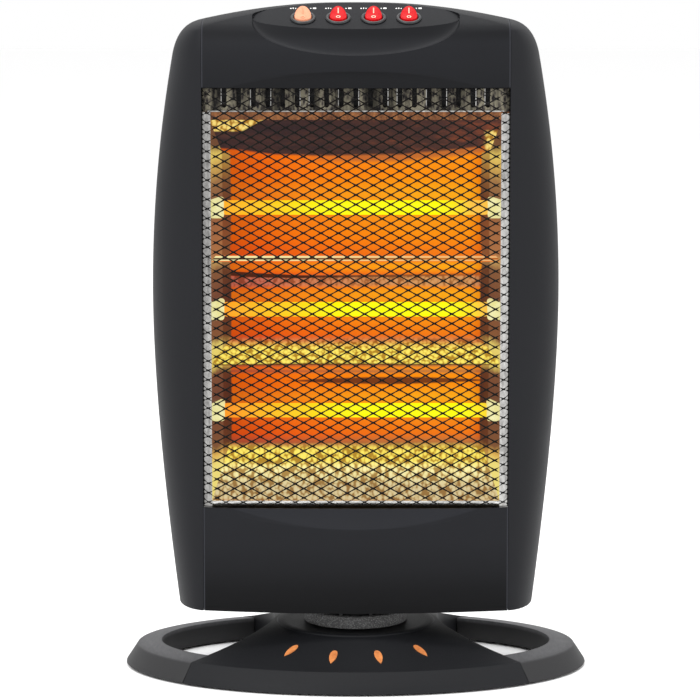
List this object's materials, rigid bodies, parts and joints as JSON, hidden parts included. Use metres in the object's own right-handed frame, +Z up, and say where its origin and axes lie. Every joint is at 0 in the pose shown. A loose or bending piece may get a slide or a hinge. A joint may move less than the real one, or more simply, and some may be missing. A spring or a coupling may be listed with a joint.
{
  "type": "halogen heater",
  "caption": "Upright halogen room heater with glowing tubes behind an expanded-metal grille, rocker switches on top and a head that swivels on an open oval stand.",
  "frame": {"origin": "on the floor under the swivel axis, the middle of the oval stand", "axes": "+Z up, -Y the front with the grille, +X to the right seen from the front"},
  "size_m": [0.3548, 0.235, 0.5112],
  "materials": {
    "charcoal_plastic": "fine satin charcoal moulding",
    "base_plastic": "satin near-black moulding",
    "dark_plastic": "plain dark moulding",
    "neck_plastic": "coarse textured dark grey",
    "grille_black": "satin black over expanded steel",
    "mirror_aluminium": "dimpled bright sheet lit by the tubes",
    "silver_sheet": "bright folded sheet",
    "steel": "bright steel",
    "tube_glow": "glowing quartz tube",
    "ceramic": "unglazed cream ceramic",
    "copper_leaf": "copper-orange satin",
    "switch_black": "smooth black",
    "rocker_red": "smooth red",
    "rocker_peach": "smooth peach",
    "rubber": "soft black",
    "nylon": "natural nylon",
    "brass": "plain"
  },
  "bodies": {
    "stand": {"base_pedestal": "base_plastic", "base_arc_right": "base_plastic", "base_arc_left": "base_plastic", "base_bottom_plate": "dark_plastic", "leaf_insert_1": "copper_leaf", "leaf_insert_2": "copper_leaf", "leaf_insert_3": "copper_leaf", "leaf_insert_4": "copper_leaf", "rubber_pad_1": "rubber", "rubber_pad_2": "rubber", "rubber_pad_3": "rubber", "rubber_pad_4": "rubber", "neck_ring": "neck_plastic", "turntable_washer": "nylon", "cord_inlet_bush": "rubber", "swivel_gearbox": "dark_plastic", "swivel_motor": "steel", "tilt_switch": "dark_plastic"},
    "head": {"head_floor": "dark_plastic", "swivel_spindle": "steel", "spindle_retainer": "steel", "side_cover_right": "charcoal_plastic", "side_cover_left": "charcoal_plastic", "top_cover": "charcoal_plastic", "lower_front_panel": "charcoal_plastic", "rear_cover": "charcoal_plastic", "front_grille": "grille_black", "reflector": "mirror_aluminium", "vent_band": "silver_sheet", "end_bracket_right": "silver_sheet", "end_bracket_left": "silver_sheet", "halogen_tube_lower": "tube_glow", "ceramic_cap_lower_right": "ceramic", "ceramic_cap_lower_left": "ceramic", "halogen_tube_middle": "tube_glow", "ceramic_cap_middle_right": "ceramic", "ceramic_cap_middle_left": "ceramic", "halogen_tube_upper": "tube_glow", "ceramic_cap_upper_right": "ceramic", "ceramic_cap_upper_left": "ceramic", "switch_body_1": "switch_black", "switch_body_2": "switch_black", "switch_body_3": "switch_black", "switch_body_4": "switch_black", "terminal_block": "nylon", "thermal_cut_out": "brass"},
    "rocker_1_body": {"rocker_1": "rocker_peach"},
    "rocker_2_body": {"rocker_2": "rocker_red"},
    "rocker_3_body": {"rocker_3": "rocker_red"},
    "rocker_4_body": {"rocker_4": "rocker_red"}
  },
  "joints": [
    {"name": "head_swing", "type": "hinge", "parent": "stand", "child": "head", "pos_m": [0, 0, 0.036], "axis": [0, 0, 1], "range_deg": [-35, 35]},
    {"name": "rocker_1_press", "type": "hinge", "parent": "head", "child": "rocker_1_body", "pos_m": [-0.0396, -0.0408, 0.501], "axis": [1, 0, 0], "range_deg": [-24, 0]},
    {"name": "rocker_2_press", "type": "hinge", "parent": "head", "child": "rocker_2_body", "pos_m": [-0.0132, -0.0408, 0.501], "axis": [1, 0, 0], "range_deg": [-24, 0]},
    {"name": "rocker_3_press", "type": "hinge", "parent": "head", "child": "rocker_3_body", "pos_m": [0.0132, -0.0408, 0.501], "axis": [1, 0, 0], "range_deg": [-24, 0]},
    {"name": "rocker_4_press", "type": "hinge", "parent": "head", "child": "rocker_4_body", "pos_m": [0.0396, -0.0408, 0.501], "axis": [1, 0, 0], "range_deg": [-24, 0]}
  ]
}
